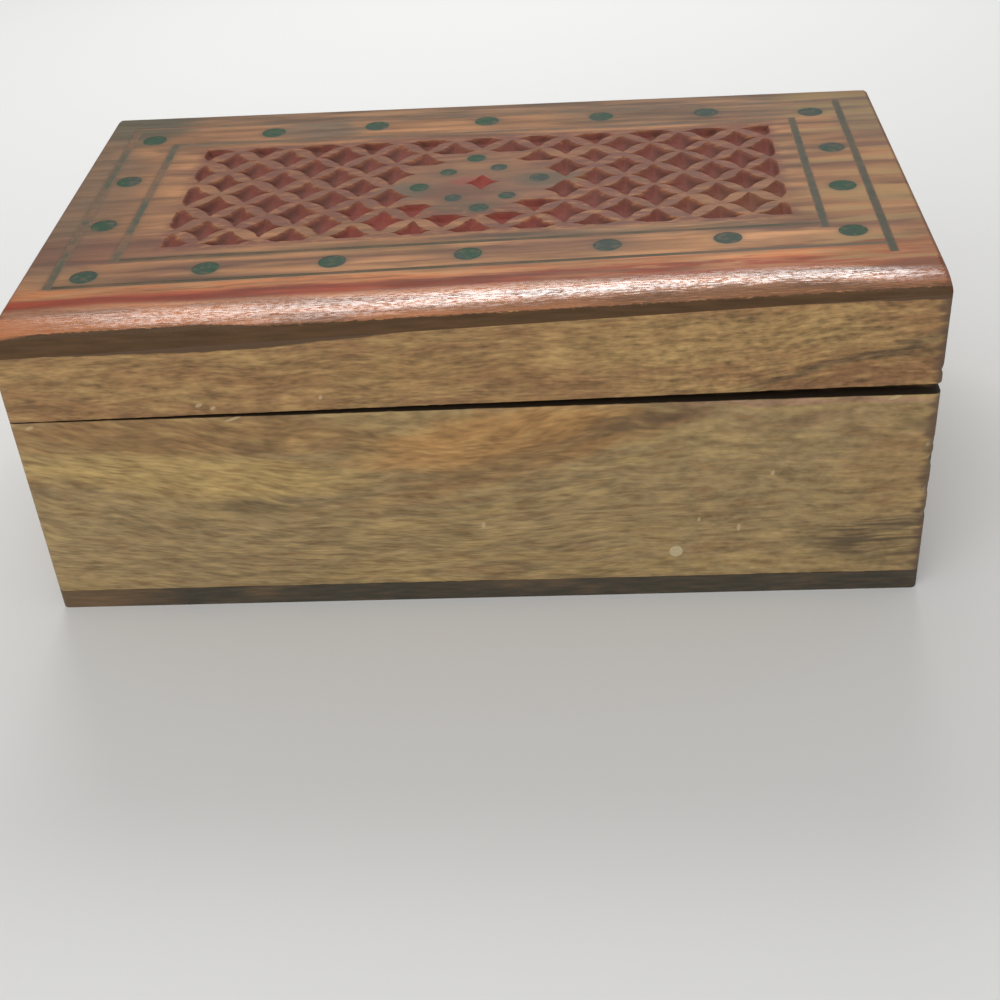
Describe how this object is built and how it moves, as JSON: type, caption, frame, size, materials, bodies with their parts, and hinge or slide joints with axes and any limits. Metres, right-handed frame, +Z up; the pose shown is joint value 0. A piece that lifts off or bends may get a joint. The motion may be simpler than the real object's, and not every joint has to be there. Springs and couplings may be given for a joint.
{
  "type": "hinged wooden box",
  "caption": "Low rectangular wooden keepsake box whose hinged lid is carved with a trellis of chips and inlaid with metal lines and dots.",
  "frame": {"origin": "centre of the underside of the bottom board", "axes": "+X to the right along the length, seen from the front; -Y out of the front; +Z up"},
  "size_m": [0.2032, 0.1271, 0.0767],
  "materials": {
    "wall_wood": "waxed, worn, light brown with darker slanting grain",
    "lid_wood": "lacquered orange brown, carved chips red brown and matt",
    "bottom_wood": "dark stained edge, satin",
    "plug_wood": "pale filler, matt",
    "inlay_metal": "tarnished green, dull",
    "hinge_metal": "aged, satin",
    "screw_metal": "aged, satin"
  },
  "bodies": {
    "base": {"base_bottom_board": "bottom_wood", "base_front_wall": "wall_wood", "base_back_wall": "wall_wood", "base_left_wall": "wall_wood", "base_right_wall": "wall_wood", "front_wall_plug": "plug_wood", "left_hinge_base_leaf": "hinge_metal", "left_hinge_pin": "hinge_metal", "right_hinge_base_leaf": "hinge_metal", "right_hinge_pin": "hinge_metal", "hinge_base_screws": "screw_metal"},
    "lid": {"lid_front_rail": "wall_wood", "lid_back_rail": "wall_wood", "lid_left_rail": "wall_wood", "lid_right_rail": "wall_wood", "lid_top_board": "lid_wood", "inlay_outer_front": "inlay_metal", "inlay_outer_back": "inlay_metal", "inlay_outer_left": "inlay_metal", "inlay_outer_right": "inlay_metal", "inlay_inner_front": "inlay_metal", "inlay_inner_back": "inlay_metal", "inlay_inner_left": "inlay_metal", "inlay_inner_right": "inlay_metal", "border_dots": "inlay_metal", "medallion_dots": "inlay_metal", "left_hinge_lid_leaf": "hinge_metal", "right_hinge_lid_leaf": "hinge_metal", "hinge_lid_screws": "screw_metal"}
  },
  "joints": [
    {"name": "lid_hinge", "type": "hinge", "parent": "base", "child": "lid", "pos_m": [0, 0.0619, 0.0519], "axis": [-1, 0, 0], "range_deg": [0, 105]}
  ]
}
